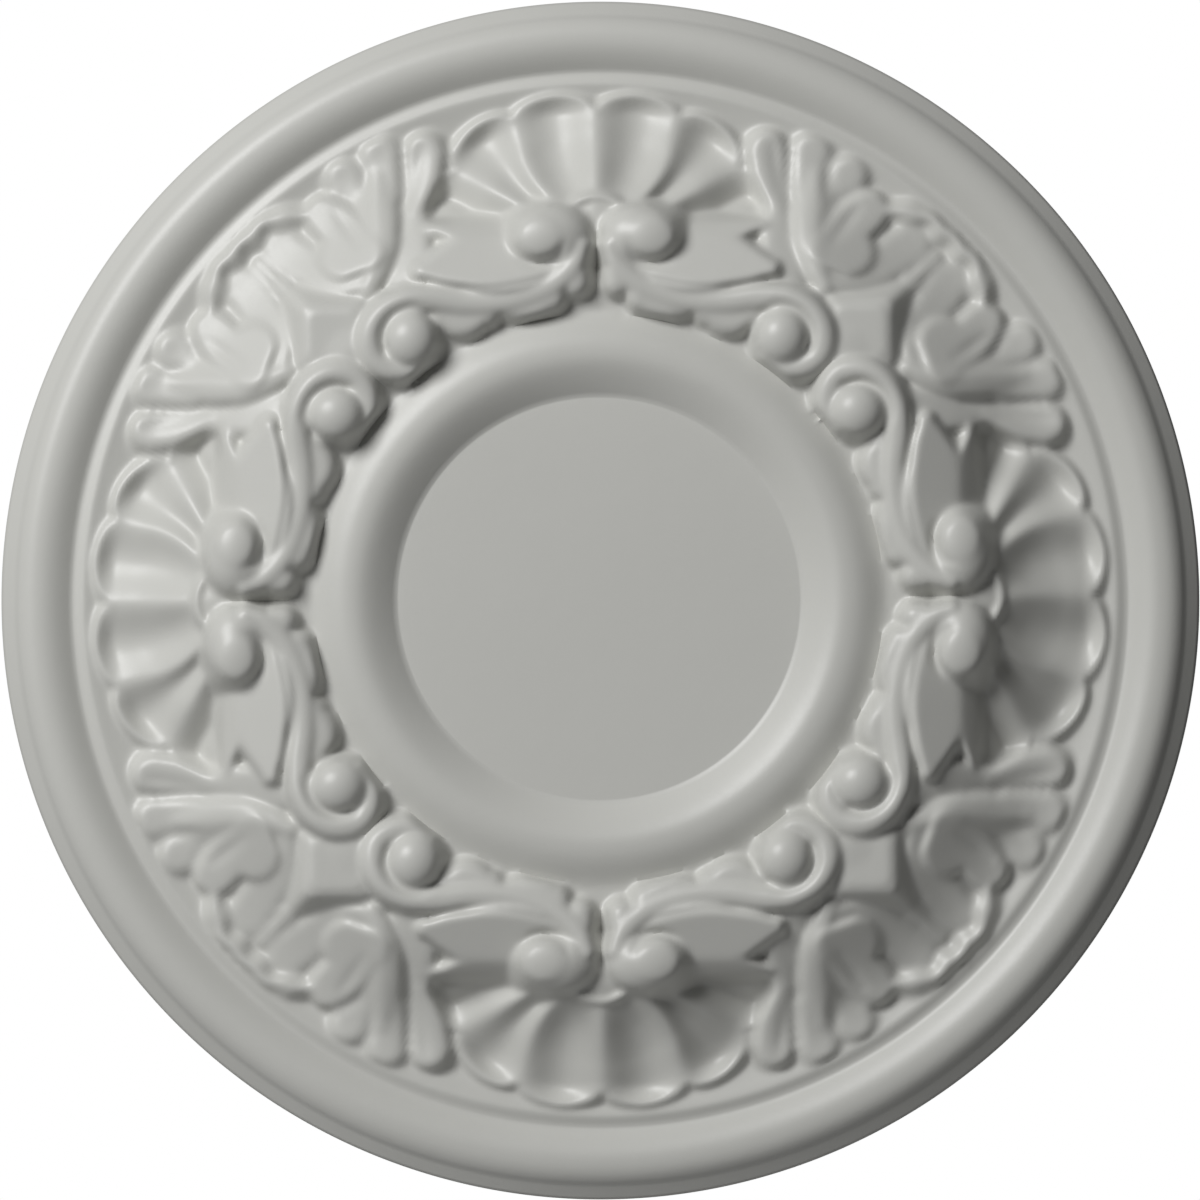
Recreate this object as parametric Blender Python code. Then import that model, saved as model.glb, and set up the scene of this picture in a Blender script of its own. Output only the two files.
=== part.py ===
"""Ceiling rose: a moulded disc with two turned rings and a carved band of shells, scrolls and leaves.

The rose is modelled as it shows from the room, moulded face along -Y, so its flat back is the
XZ plane and faces +Y. The origin is the centre of the back. All sizes are in metres.

The band between the rings is a height field over a turned blank. Its ornament is one eighth of
the circle, drawn once and folded about the four shell axes and the four diagonals. The drawing
is made of shares: 200 units to the radius of the rose as drawn, and it is stretched to whatever
band the turned sizes leave for it.
"""
import math

import bmesh
import bpy
import numpy as np

# Turned sizes, measured from the axis outwards and from the rim inwards
ROSE_RADIUS = 0.200
RECESS_RADIUS = 0.0672
INNER_RING_INNER_WIDTH = 0.0143
INNER_RING_OUTER_WIDTH = 0.0150
INNER_RING_ROUNDNESS = 0.0075
FILLET_WIDTH = 0.0048
OUTER_RING_WIDTH = 0.0180
RIM_STEP_WIDTH = 0.0006
RIM_BAND_WIDTH = 0.0050

# Levels above the flat back, and rises and falls from the level beside them
FLOOR_LEVEL = 0.0195
INNER_RING_RISE = 0.0077
INNER_RING_FALL = 0.0048
INNER_GROUND_FALL = 0.0178
FILLET_RISE = 0.0038
FILLET_FALL = 0.0010
OUTER_RING_RISE = 0.0048
OUTER_RING_FALL = 0.0032
RIM_STEP_DEPTH = 0.0009
RIM_EDGE_LEVEL = 0.0042

# Shapes of the slopes: powers of the share of their width, and where the outer ring has its crest
RING_FALL_POWER = 1.35
FILLET_RISE_POWER = 1.5
OUTER_RING_CREST_SHARE = 0.58
OUTER_RING_FOOT_POWER = 0.62
OUTER_RING_BACK_POWER = 2.6

# Carving: how far the highest scroll stands above the ground under it, and the drawing's own sizes
CARVING_RISE = 0.0154
DRAWN_RISE = 15.4
DRAWN_START = 94.5
DRAWN_VALLEY = 96.5
DRAWN_OUTER = 171.5
DRAWN_LOW = 152.0
DRAWN_RING_CREST = 81.5
DRAWN_RING_FALL = 4.8
DRAWN_INNER_GROUND = 22.4
DRAWN_GROUND_FALL = 17.8
DRAWN_FILLET_RISE = 3.8
GROUND_START = 98.0
GROUND_RUN = 54.0
EDGE_SLOPE = 2.4

# Shoulder that the leaves lie on: its lowest level, its rise, and where its slope starts and how long it is
SHOULDER_LEVEL = 9.0
SHOULDER_RISE = 21.5
SHOULDER_START = 114.0
SHOULDER_RUN = 54.0

# Shell: its foot, the angles of its ridges near the foot and at the lip, and how far its lip reaches
SHELL_FOOT_UP = 118.0
INNER_RIDGES = (0.0, 46.0, 62.0, 93.0)
OUTER_RIDGES = (0.0, 33.0, 62.0, 93.0)
LOBE_TIPS = (53.4, 58.6, 60.5)
LOBE_DIPS = (46.5, 51.5, 54.0, 55.5)
FLUTE_DEPTH = 4.4
SHELL_LIP = 0.8
LIP_EDGE = 2.4
LIP_DROP = 1.2
LIP_WIDTH = 1.8
SHELL_FOOT_REACH = 8.0
SHELL_LIP_LEVEL = 12.2
SHELL_FALL = 12.7
SHELL_RUN = 38.0
SHELL_SIDE_RUN = 14.0
SHELL_LIP_TURN = 2.8
SHELL_SIDE_RISE = 3.0
FLUTE_POWER = 1.6
HINGE_CENTRE_UP = 121.5
HINGE_RADIUS = 12.0
HINGE_HALF_WIDTH = 1.6
HINGE_CREST = 25.0
HINGE_START_UP = 126.0

# Curled tip of the leaf: its crest, the sides of its outline, its back and its lobed hollow
TIP_CREST = 12.9
TIP_SIDE = 131.8
TIP_REACH = 171.8
TIP_BACK_WIDTH = 2.6
TIP_BACK_SLOPE = 1.3
TIP_HOLLOW_SLOPE = 0.68
TIP_ROUNDNESS = 0.7
TIP_LOBE = 9.7
TIP_CREASE = 1.3
TIP_BLEND = 0.6

# Square between the small volutes: its middle, half side, corner and level, and its two slopes
SQUARE_MIDDLE = 87.5
SQUARE_HALF = 8.0
SQUARE_CORNER = 4.0
SQUARE_CREST = 29.6
SQUARE_ROOT_WIDTH = 3.0
SQUARE_ROOT_SLOPE = 0.5
SQUARE_OUTER_SLOPE = 1.4

# Strokes of half an acanthus: stations of across, up, half width, and level above the shoulder.
# Each is followed by how far its edge drops, its squareness and its blend.
LEAF_STROKES = (
    (((62, 106, 8.0, -2.2), (62, 118, 7.5, -2.4), (66, 132, 9.5, -2.2), (68.5, 142, 12.5, -2.2)),
     3.0, 4.0, 1.4),
    (((79, 107, 8.0, -1.4), (86, 116, 12.0, -2.4), (90, 124, 13.0, -2.2)), 3.0, 4.0, 1.2),
    (((84, 84, 10.0, 0.0), (92, 92, 6.0, 0.6), (99, 99, 4.0, 1.0), (106, 106, 2.8, 0.9),
      (113.5, 113.5, 2.2, 0.4)), 2.2, 2.0, 1.2),
    (((76.5, 104, 5.0, 0.4), (74.6, 110, 6.2, 1.8), (73.6, 117, 7.6, 3.0), (73.2, 126, 8.2, 3.4),
      (73.4, 135, 7.4, 3.0), (73.6, 141, 5.6, 2.2)), 5.2, 1.35, 1.2),
)

# Plates of half an acanthus: stations of across, up and half width of each lobe, then the level of
# the top above the shoulder, where that is measured, how the top leans across and up, the width,
# drop and knit of the edge, and the blend.
LEAF_PLATES = (
    ((((61.0, 130, 3.6, 0), (59.2, 137, 5.0, 0), (57.8, 143, 6.2, 0), (57.3, 149.3, 6.9, 0)),),
     1.5, (0.0, 149.0), (0.0, 0.19), 3.6, 2.2, 1.5, 1.8),
    ((((79, 127, 6.0, 0), (81.5, 134, 6.6, 0), (84, 140.6, 7.0, 0)),),
     1.2, (0.0, 140.0), (0.0, 0.10), 3.6, 2.2, 1.5, 1.6),
    ((((70.5, 136, 6.0, 0), (71.2, 142, 6.8, 0), (71.7, 148.2, 7.2, 0)),),
     1.6, (0.0, 148.0), (0.0, 0.06), 3.6, 2.2, 1.5, 1.6),
    ((((76, 107, 4.0, 0), (84, 105.6, 4.6, 0), (92.5, 108.6, 6.0, 0), (99, 113.8, 7.4, 0),
       (104.5, 117.6, 7.6, 0)),),
     0.2, (0.0, 0.0), (0.0, 0.0), 3.5, 1.8, 1.5, 0.5),
    ((((76, 116, 6.0, 0), (81, 120.6, 8.4, 0), (86, 125.2, 8.2, 0), (90.2, 128.4, 7.6, 0)),
      ((77, 115.5, 6.6, 0), (84.8, 114.6, 8.4, 0))),
     2.9, (76.0, 0.0), (-0.05, 0.0), 2.4, 2.4, 1.0, 1.6),
)

# The scroll from one volute to the other, the lobes on its inner side, and the petal above it
S_SCROLL = ((4.6, 117, 3.4, 32.4), (7.4, 110.6, 4.0, 32.0), (13.6, 104.9, 4.6, 31.4),
            (22, 101.0, 4.7, 31.0), (32, 98.6, 4.7, 31.0), (43, 98.3, 4.8, 31.4), (54, 99.6, 4.8, 32.4),
            (63.5, 98.6, 4.8, 33.6), (71.2, 94.2, 4.8, 34.0), (74.8, 87.6, 4.9, 33.8),
            (74.0, 80.8, 4.7, 33.0), (68.8, 76.6, 4.4, 32.2), (62.0, 76.4, 4.0, 31.4),
            (57.0, 79.6, 3.4, 30.8))
SCROLL_LOBES = (((7.0, 104.8, 5.0, 0), (7.4, 107, 5.4, 0)),
                ((16, 100.8, 6.4, 0), (22, 99.4, 7.9, 0), (27.5, 99.6, 7.4, 0)),
                ((38, 96.8, 7.2, 0), (44.5, 94.9, 8.8, 0), (50, 95.5, 6.6, 0)))
PETAL = (((17, 113.5, 7.5, 0), (24, 112.2, 9.4, 0), (33, 111.8, 10.2, 0), (42, 112.1, 9.6, 0),
          (51, 110.4, 6.4, 0), (58, 109.3, 2.8, 0)),
         ((24, 122, 8.0, 0), (44, 126, 7.6, 0), (54.6, 127.6, 4.8, 0)),
         ((22, 130, 7.0, 0), (38, 134, 8.0, 0), (43, 137, 6.4, 0)))
PETAL_LEVEL = 32.4
PETAL_LOW_UP = 104.5
PETAL_LEAN = 0.43
PETAL_BENDS = ((120.5, 0.80), (128.0, -0.35))
PETAL_BEND_WIDTH = 0.8
PETAL_SIDE_START = 26.0
PETAL_SIDE_SLOPE = 0.40
LOBE_LEVEL = 29.9
LOBE_LOW_UP = 98.0
LOBE_LEAN = 0.10

# Volutes: centre, half widths, level, how far the edge drops, and the blend
VOLUTES = (((14.4, 120.3), (13.4, 10.6), 34.6, 9.6, 0.6),
           ((18.6, 119.6), (8.0, 7.4), 35.0, 3.0, 2.4),
           ((61.6, 86.4), (8.6, 8.9), 36.8, 6.5, 1.2))

# Mesh fineness
SEGMENTS = 384
BAND_RINGS = 64
ARC_STEPS = 10
TARGET_TRIANGLES = 9600
SHARP_ANGLE = math.radians(50.0)


def smooth_step(t):
    """Cubic step from 0 to 1."""
    t = np.clip(t, 0.0, 1.0)
    return t * t * (3.0 - 2.0 * t)


def cosine_step(t):
    """Half cosine from 0 to 1."""
    return 0.5 - 0.5 * np.cos(np.pi * np.clip(t, 0.0, 1.0))


def join(low, high, blend):
    """The higher of two surfaces, with the crease between them filled over the blend height."""
    near = np.clip(blend - np.abs(low - high), 0.0, None) / blend
    return np.maximum(low, high) + near * near * blend * 0.25


def cushion(share, drop, width, squareness=2.0):
    """Rounded section: 0 on the crest, drop lower at its edge, then steeply down."""
    inside = -drop * (1.0 - np.sqrt(np.clip(1.0 - np.abs(share) ** squareness, 0.0, 1.0)))
    outside = -drop - (share - 1.0) * width * EDGE_SLOPE
    return np.where(share <= 1.0, inside, outside)


def smooth_line(stations, steps=8):
    """Catmull-Rom curve through stations of across, up, half width and level."""
    given = np.asarray(stations, float)
    ends = np.vstack([2 * given[0] - given[1], given, 2 * given[-1] - given[-2]])
    share = np.linspace(0.0, 1.0, steps, endpoint=False)[:, None]
    spans = []
    for a, b, c, d in zip(ends[:-3], ends[1:-2], ends[2:-1], ends[3:]):
        spans.append(0.5 * (2 * b + (c - a) * share + (2 * a - 5 * b + 4 * c - d) * share ** 2
                            + (3 * b - a - 3 * c + d) * share ** 3))
    return np.vstack(spans + [given[-1:]])


def follow(across, up, stations):
    """Distance to a curve, and the half width and level at the nearest place on it."""
    line = smooth_line(stations)
    nearest = np.full(across.shape, np.inf)
    width = np.ones(across.shape)
    level = np.zeros(across.shape)
    for a, b in zip(line[:-1], line[1:]):
        step = b[:2] - a[:2]
        share = np.clip(((across - a[0]) * step[0] + (up - a[1]) * step[1]) / step.dot(step), 0.0, 1.0)
        away = np.hypot(across - a[0] - share * step[0], up - a[1] - share * step[1])
        closer = away < nearest
        nearest = np.where(closer, away, nearest)
        width = np.where(closer, a[2] + share * (b[2] - a[2]), width)
        level = np.where(closer, a[3] + share * (b[3] - a[3]), level)
    return nearest, width, level


def stroke(across, up, stations, drop, squareness=2.0):
    """A carved member that follows a curve: its width and level change along it."""
    away, width, level = follow(across, up, stations)
    return level + cushion(away / width, drop, width, squareness)


def plate_edge(across, up, lobes, edge, drop, knit):
    """How far the rounded edge of a plate drops: its outline is that of its lobes together."""
    inside = np.full(across.shape, -1e3)
    for lobe in lobes:
        away, width, _ = follow(across, up, lobe)
        inside = join(inside, width - away, knit)
    return cushion(np.clip(1.0 - inside / edge, 0.0, None), drop, edge)


def boss(across, up, centre, radii, drop):
    """An oval cushion, 0 at its middle."""
    share = np.hypot((across - centre[0]) / radii[0], (up - centre[1]) / radii[1])
    return cushion(share, drop, min(radii))


def ring_fall(share):
    """How far the inner ring's outer flank has fallen, 0 to 1, from its crest to the valley."""
    return smooth_step(np.clip(share, 0.0, 1.0) ** RING_FALL_POWER)


def ground_fall(radius):
    """How far the ground has fallen, 0 to 1, at a radius of the drawing."""
    return cosine_step((radius - GROUND_START) / GROUND_RUN)


def fillet_rise(radius):
    """How far the ground has risen again towards the fillet, 0 to 1, at a radius of the drawing."""
    return np.clip((radius - DRAWN_LOW) / (DRAWN_OUTER - DRAWN_LOW), 0.0, 1.0) ** FILLET_RISE_POWER


def drawn_ground(radius):
    """Level of the plain ground of the band, as drawn, with the inner ring's flank inside it."""
    share = (radius - DRAWN_RING_CREST) / (DRAWN_VALLEY - DRAWN_RING_CREST)
    flank = DRAWN_INNER_GROUND + DRAWN_RING_FALL * (1.0 - ring_fall(share))
    slope = DRAWN_INNER_GROUND - DRAWN_GROUND_FALL * ground_fall(radius)
    return np.where(radius < DRAWN_VALLEY, flank, slope + DRAWN_FILLET_RISE * fillet_rise(radius))


def shoulder(radius):
    """Level that the leaves lie on: high beside the scrolls, low at the fillet."""
    return SHOULDER_LEVEL + SHOULDER_RISE * (1.0 - cosine_step((radius - SHOULDER_START) / SHOULDER_RUN))


def shell(across, up):
    """Half of a shell: three hollow flutes that fan out from its foot to a scalloped lip."""
    reach = np.hypot(across, up - SHELL_FOOT_UP)
    angle = np.arctan2(across, up - SHELL_FOOT_UP)
    lean = smooth_step((reach - 22.0) / 32.0)
    ridges = [np.radians(near + (far - near) * lean) for near, far in zip(INNER_RIDGES, OUTER_RIDGES)]
    lobe = sum((angle > ridge).astype(int) for ridge in ridges[1:-1])
    start, stop = np.choose(lobe, ridges[:-1]), np.choose(lobe, ridges[1:])
    part = np.clip((angle - start) / (stop - start), 0.0, 1.0)
    first, second = np.take(LOBE_DIPS, lobe), np.take(LOBE_DIPS, lobe + 1)
    bulge = np.take(LOBE_TIPS, lobe) - 0.5 * (first + second)
    arch = np.sqrt(np.clip(1.0 - (2.0 * part - 1.0) ** 2, 0.0, 1.0))
    inside = first + (second - first) * part + bulge * arch - reach
    run = SHELL_RUN + SHELL_SIDE_RUN * smooth_step((angle - 0.52) / 0.52)
    body = SHELL_LIP_LEVEL + SHELL_FALL * (1.0 - cosine_step((reach - SHELL_FOOT_REACH) / run))
    body = body - SHELL_LIP_TURN * smooth_step((reach - SHELL_RUN) / 16.0)
    beside = smooth_step((angle - 1.2) / 0.4) * (1.0 - cosine_step((reach - 30.0) / 25.0))
    body = body + SHELL_SIDE_RISE * beside
    scoop = smooth_step((reach - SHELL_FOOT_REACH) / 20.0) * smooth_step((inside - 0.6) / 7.0)
    flute = FLUTE_DEPTH * scoop * np.sin(np.pi * part) ** FLUTE_POWER
    lip = SHELL_LIP * np.exp(-((inside - 1.2) / 1.3) ** 2) * smooth_step((reach - 30.0) / 12.0)
    past_last = np.clip(angle - math.radians(OUTER_RIDGES[-1] - 2.0), 0.0, None) * reach
    edge = cushion(np.clip(1.0 - inside / LIP_EDGE, 0.0, None), LIP_DROP, LIP_WIDTH)
    return body - flute + lip + edge - past_last * EDGE_SLOPE


def shell_hinge(across, up):
    """Arched fillet over the pair of volutes, where the flutes start."""
    away = np.abs(np.hypot(across, up - HINGE_CENTRE_UP) - HINGE_RADIUS)
    arch = HINGE_CREST + cushion(away / HINGE_HALF_WIDTH, HINGE_HALF_WIDTH, HINGE_HALF_WIDTH)
    return np.where(up > HINGE_START_UP, arch, 0.0)


def petal(across, up):
    """Smooth leaf beside the large volute, which bends down twice towards the last flute."""
    top = PETAL_LEVEL - PETAL_LEAN * (up - PETAL_LOW_UP)
    for start, fall in PETAL_BENDS:
        top = top - fall * PETAL_BEND_WIDTH * np.logaddexp(0.0, (up - start) / PETAL_BEND_WIDTH)
    beside = np.clip(across - PETAL_SIDE_START, 0.0, None)
    top = top - PETAL_SIDE_SLOPE * beside * smooth_step((up - 124.0) / 8.0)
    return top + plate_edge(across, up, PETAL, 2.4, 1.8, 1.0)


def curled_tip(across, up):
    """Rolled tip of the leaf beside the fillet: squared off outside, hollow and lobed inside."""
    beside = (up - across) / math.sqrt(2.0)
    outer = -join(up - TIP_SIDE, np.hypot(across, up) - TIP_REACH, 4.0)
    lobes = 0.5 - 0.5 * np.cos(2.0 * math.pi * beside / TIP_LOBE)
    past = (outer - TIP_BACK_WIDTH - lobes) / TIP_ROUNDNESS
    back = TIP_BACK_SLOPE * TIP_ROUNDNESS * np.logaddexp(0.0, -past)
    hollow = TIP_HOLLOW_SLOPE * TIP_ROUNDNESS * np.logaddexp(0.0, past)
    crease = TIP_CREASE * (1.0 - lobes) ** 2 * smooth_step((outer - TIP_BACK_WIDTH) / 4.0)
    return TIP_CREST - back - hollow - crease


def square_boss(across, up):
    """Flat square between the small volutes, on its sloping root."""
    sides = join(np.abs(across - SQUARE_MIDDLE), np.abs(up - SQUARE_MIDDLE), SQUARE_CORNER)
    root = SQUARE_ROOT_SLOPE * np.clip(sides - SQUARE_HALF, 0.0, None)
    past = np.clip(sides - SQUARE_HALF - SQUARE_ROOT_WIDTH, 0.0, None)
    return SQUARE_CREST - root - SQUARE_OUTER_SLOPE * past


def carved_level(across, up):
    """Level of the ornament over one eighth of the band, as drawn."""
    radius = np.hypot(across, up)
    bed = shoulder(radius)
    level = join(drawn_ground(radius), shell(across, up), 0.4)
    level = join(level, shell_hinge(across, up), 0.4)
    for stations, drop, squareness, blend in LEAF_STROKES:
        level = join(level, bed + stroke(across, up, stations, drop, squareness), blend)
    for lobes, crest, middle, lean, edge, drop, knit, blend in LEAF_PLATES:
        top = bed + crest + lean[0] * (across - middle[0]) + lean[1] * (up - middle[1])
        level = join(level, top + plate_edge(across, up, lobes, edge, drop, knit), blend)
    level = join(level, curled_tip(across, up), TIP_BLEND)
    level = join(level, square_boss(across, up), 1.0)
    lobes = LOBE_LEVEL + LOBE_LEAN * (up - LOBE_LOW_UP) + plate_edge(across, up, SCROLL_LOBES, 4.4, 4.4, 0.8)
    level = join(level, lobes, 0.8)
    level = join(level, stroke(across, up, S_SCROLL, 4.4, 2.4), 0.8)
    level = join(level, petal(across, up), 0.6)
    for centre, radii, crest, drop, blend in VOLUTES:
        level = join(level, crest + boss(across, up, centre, radii, drop), blend)
    return level


def band_limits():
    """Radii of the start of the carving, of the valley beside the inner ring, and of the fillet."""
    valley = RECESS_RADIUS + INNER_RING_INNER_WIDTH + INNER_RING_OUTER_WIDTH
    outer = ring_limits()[0] - FILLET_WIDTH
    start = valley - (outer - valley) * (DRAWN_VALLEY - DRAWN_START) / (DRAWN_OUTER - DRAWN_VALLEY)
    return start, valley, outer


def ring_limits():
    """Radii where the outer ring starts and ends, and where the rim band starts."""
    rim = ROSE_RADIUS - RIM_BAND_WIDTH
    end = rim - RIM_STEP_WIDTH
    return end - OUTER_RING_WIDTH, end, rim


def drawn_radius(radius):
    """Radius in the drawing of a radius of the band."""
    _, valley, outer = band_limits()
    return DRAWN_VALLEY + (radius - valley) / (outer - valley) * (DRAWN_OUTER - DRAWN_VALLEY)


def carving_height(east, north, radius):
    """Height of the carving over the ground, in metres, at points of the band."""
    stretch = drawn_radius(radius) / radius
    x, y = np.abs(east) * stretch, np.abs(north) * stretch
    across, up = np.minimum(x, y), np.maximum(x, y)
    height = carved_level(across, up) - drawn_ground(np.hypot(across, up))
    share = (drawn_radius(radius) - DRAWN_START) / (DRAWN_OUTER - DRAWN_START)
    fade = smooth_step(share / 0.02) * smooth_step((1.0 - share) / 0.02)
    return np.clip(height, 0.0, None) * fade * CARVING_RISE / DRAWN_RISE


def ground_level(radius):
    """Level of the turned ground, from the inner ring's crest to the fillet."""
    valley = band_limits()[1]
    crest_level = FLOOR_LEVEL + INNER_RING_RISE
    if radius < valley:
        share = 1.0 - (valley - radius) / INNER_RING_OUTER_WIDTH
        return crest_level - INNER_RING_FALL * float(ring_fall(share))
    drawn = drawn_radius(radius)
    slope = crest_level - INNER_RING_FALL - INNER_GROUND_FALL * float(ground_fall(drawn))
    return slope + FILLET_RISE * float(fillet_rise(drawn))


def blank_profile():
    """Section of the turned blank from the middle of the floor to the middle of the back."""
    start, _, outer = band_limits()
    ring_start, ring_end, rim = ring_limits()
    crest = RECESS_RADIUS + INNER_RING_INNER_WIDTH
    points = [(0.0, FLOOR_LEVEL)]
    for share in np.linspace(1.0, 0.0, ARC_STEPS, endpoint=False):
        points.append((crest - INNER_RING_INNER_WIDTH * share, inner_flank_level(share)))
    for radius in np.linspace(crest, start, ARC_STEPS, endpoint=False):
        points.append((radius, ground_level(radius)))
    for radius in np.linspace(start, outer, BAND_RINGS):
        points.append((radius, ground_level(radius)))
    fillet = ground_level(outer)
    for share in np.linspace(0.0, 1.0, ARC_STEPS)[1:-1]:
        fall = FILLET_FALL * float(smooth_step((share - 0.1) / 0.75))
        points.append((outer + FILLET_WIDTH * share, fillet - fall))
    points += outer_ring_section(ring_start, ring_end, fillet - FILLET_FALL)
    rim_level = points[-1][1] - RIM_STEP_DEPTH
    for share in np.linspace(0.0, 1.0, ARC_STEPS // 2):
        points.append((rim + RIM_BAND_WIDTH * share, rim_level - (rim_level - RIM_EDGE_LEVEL) * share))
    return points + [(ROSE_RADIUS, 0.0), (0.0, 0.0)]


def inner_flank_level(share):
    """Level of the inner ring's inner flank: round on top and straighter towards the floor."""
    round_top = INNER_RING_ROUNDNESS / INNER_RING_INNER_WIDTH
    fall = (math.hypot(share, round_top) - round_top) / (math.hypot(1.0, round_top) - round_top)
    return FLOOR_LEVEL + INNER_RING_RISE * (1.0 - fall)


def outer_ring_section(start, end, ground):
    """Outer ring: a hollow foot, a round top and a steep fall to the rim."""
    crest = start + OUTER_RING_CREST_SHARE * (end - start)
    points = []
    for radius in np.linspace(start, end, 2 * ARC_STEPS):
        if radius < crest:
            share = (radius - start) / (crest - start)
            level = ground + OUTER_RING_RISE * float(smooth_step(share ** OUTER_RING_FOOT_POWER))
        else:
            share = (radius - crest) / (end - crest)
            level = ground + OUTER_RING_RISE - OUTER_RING_FALL * share ** OUTER_RING_BACK_POWER
        points.append((radius, level))
    return points


def primed_foam():
    """Primed moulded foam, an even satin off-white."""
    material = bpy.data.materials.new("Primed moulding")
    material.use_nodes = True
    shader = material.node_tree.nodes["Principled BSDF"]
    shader.inputs["Base Color"].default_value = (0.60, 0.60, 0.57, 1.0)
    shader.inputs["Roughness"].default_value = 0.42
    shader.inputs["Metallic"].default_value = 0.0
    return material


def turned_blank():
    """Spin the section about the Y axis and weld its seam and its poles."""
    mesh = bmesh.new()
    rim = [mesh.verts.new((radius, -level, 0.0)) for radius, level in blank_profile()]
    edges = [mesh.edges.new(pair) for pair in zip(rim[:-1], rim[1:])]
    bmesh.ops.spin(mesh, geom=rim + edges, cent=(0, 0, 0), axis=(0, 1, 0), angle=2.0 * math.pi,
                   steps=SEGMENTS, use_merge=True, use_normal_flip=False, use_duplicate=False)
    bmesh.ops.remove_doubles(mesh, verts=mesh.verts, dist=1e-6)
    bmesh.ops.recalc_face_normals(mesh, faces=mesh.faces)
    return mesh


def raise_carving(mesh):
    """Lift the front of the band by the height of the carving."""
    start, _, outer = band_limits()
    front = []
    for vert in mesh.verts:
        radius = math.hypot(vert.co.x, vert.co.z)
        if start < radius < outer and vert.co.y < -0.5 * RIM_EDGE_LEVEL:
            front.append((vert, radius))
    east = np.array([vert.co.x for vert, radius in front])
    north = np.array([vert.co.z for vert, radius in front])
    heights = carving_height(east, north, np.array([radius for vert, radius in front]))
    for (vert, radius), height in zip(front, heights):
        vert.co.y -= float(height)


def ceiling_rose(collection):
    """The whole rose, one moulded piece."""
    solid = turned_blank()
    raise_carving(solid)
    triangles = sum(len(face.verts) - 2 for face in solid.faces)
    data = bpy.data.meshes.new("ceiling_rose")
    solid.to_mesh(data)
    solid.free()
    data.materials.append(primed_foam())
    data.shade_smooth()
    data.set_sharp_from_angle(angle=SHARP_ANGLE)
    rose = bpy.data.objects.new("ceiling_rose", data)
    collection.objects.link(rose)
    thin = rose.modifiers.new("Facets", "DECIMATE")
    thin.decimate_type = "COLLAPSE"
    thin.ratio = min(1.0, TARGET_TRIANGLES / triangles)
    return rose


def main():
    for old in list(bpy.data.objects):
        bpy.data.objects.remove(old, do_unlink=True)
    collection = bpy.data.collections.new("Ceiling rose")
    bpy.context.scene.collection.children.link(collection)
    ceiling_rose(collection)


if __name__ == "__main__":
    main()
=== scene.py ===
"""Ceiling rose: the fine moulded relief and its primed finish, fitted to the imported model.

The rose hangs as it was photographed, moulded face along -Y and flat back in the XZ plane. The
relief is drawn in shares, 200 to the radius of the rose, over one eighth of the circle: up is the
way out along a shell's middle line, and across is the way to the side of that line. Every member of
the drawing gives the level that it reaches over the flat back, and the band takes the highest.
"""
import logging
import math
from dataclasses import dataclass, field
from enum import Enum
from typing import Any, Protocol, Sequence

import bmesh
import bpy
import numpy as np
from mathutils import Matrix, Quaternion, Vector

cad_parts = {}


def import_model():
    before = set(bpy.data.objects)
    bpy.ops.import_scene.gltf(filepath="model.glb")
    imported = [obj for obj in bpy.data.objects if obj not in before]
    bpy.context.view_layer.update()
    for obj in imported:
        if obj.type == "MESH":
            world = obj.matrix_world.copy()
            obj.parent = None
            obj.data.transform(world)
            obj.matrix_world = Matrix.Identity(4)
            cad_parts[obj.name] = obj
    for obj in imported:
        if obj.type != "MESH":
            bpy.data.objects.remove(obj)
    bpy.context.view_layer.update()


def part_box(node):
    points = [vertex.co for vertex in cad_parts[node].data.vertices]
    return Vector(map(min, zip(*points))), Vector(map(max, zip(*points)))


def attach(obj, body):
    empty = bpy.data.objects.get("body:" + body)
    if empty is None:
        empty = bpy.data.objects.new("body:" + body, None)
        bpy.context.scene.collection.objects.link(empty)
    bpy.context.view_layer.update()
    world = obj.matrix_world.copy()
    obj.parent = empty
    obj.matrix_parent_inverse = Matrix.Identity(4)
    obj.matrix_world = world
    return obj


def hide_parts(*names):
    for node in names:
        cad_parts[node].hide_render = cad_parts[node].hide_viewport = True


LOG = logging.getLogger("ceiling_rose")
NODE = "ceiling_rose"
BODY = "root"
DRAWN_RADIUS = 200.0
EIGHTHS = 8
EDGE_SLOPE = 2.4
FAR_OUTSIDE = -1e3
SHOULDER_LOW = 9.0
SHOULDER_RISE = 21.5
SHOULDER_START = 114.0
SHOULDER_RUN = 54.0

Grid = np.ndarray
Stations = Sequence[tuple[float, float, float, float]]


def smooth_step(share: Grid) -> Grid:
    """Cubic step from 0 to 1."""
    share = np.clip(share, 0.0, 1.0)
    return share * share * (3.0 - 2.0 * share)


def cosine_step(share: Grid) -> Grid:
    """Half cosine from 0 to 1."""
    return 0.5 - 0.5 * np.cos(np.pi * np.clip(share, 0.0, 1.0))


def join(low: Grid, high: Grid, blend: float) -> Grid:
    """Take the higher of two surfaces and fill the crease between them.

    Args:
        low: The surface so far.
        high: The surface that is laid on it.
        blend: How far apart the two may be where the crease is still filled.

    Returns:
        The joined surface.
    """
    near = np.clip(blend - np.abs(low - high), 0.0, None) / blend
    return np.maximum(low, high) + near * near * blend * 0.25


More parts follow.
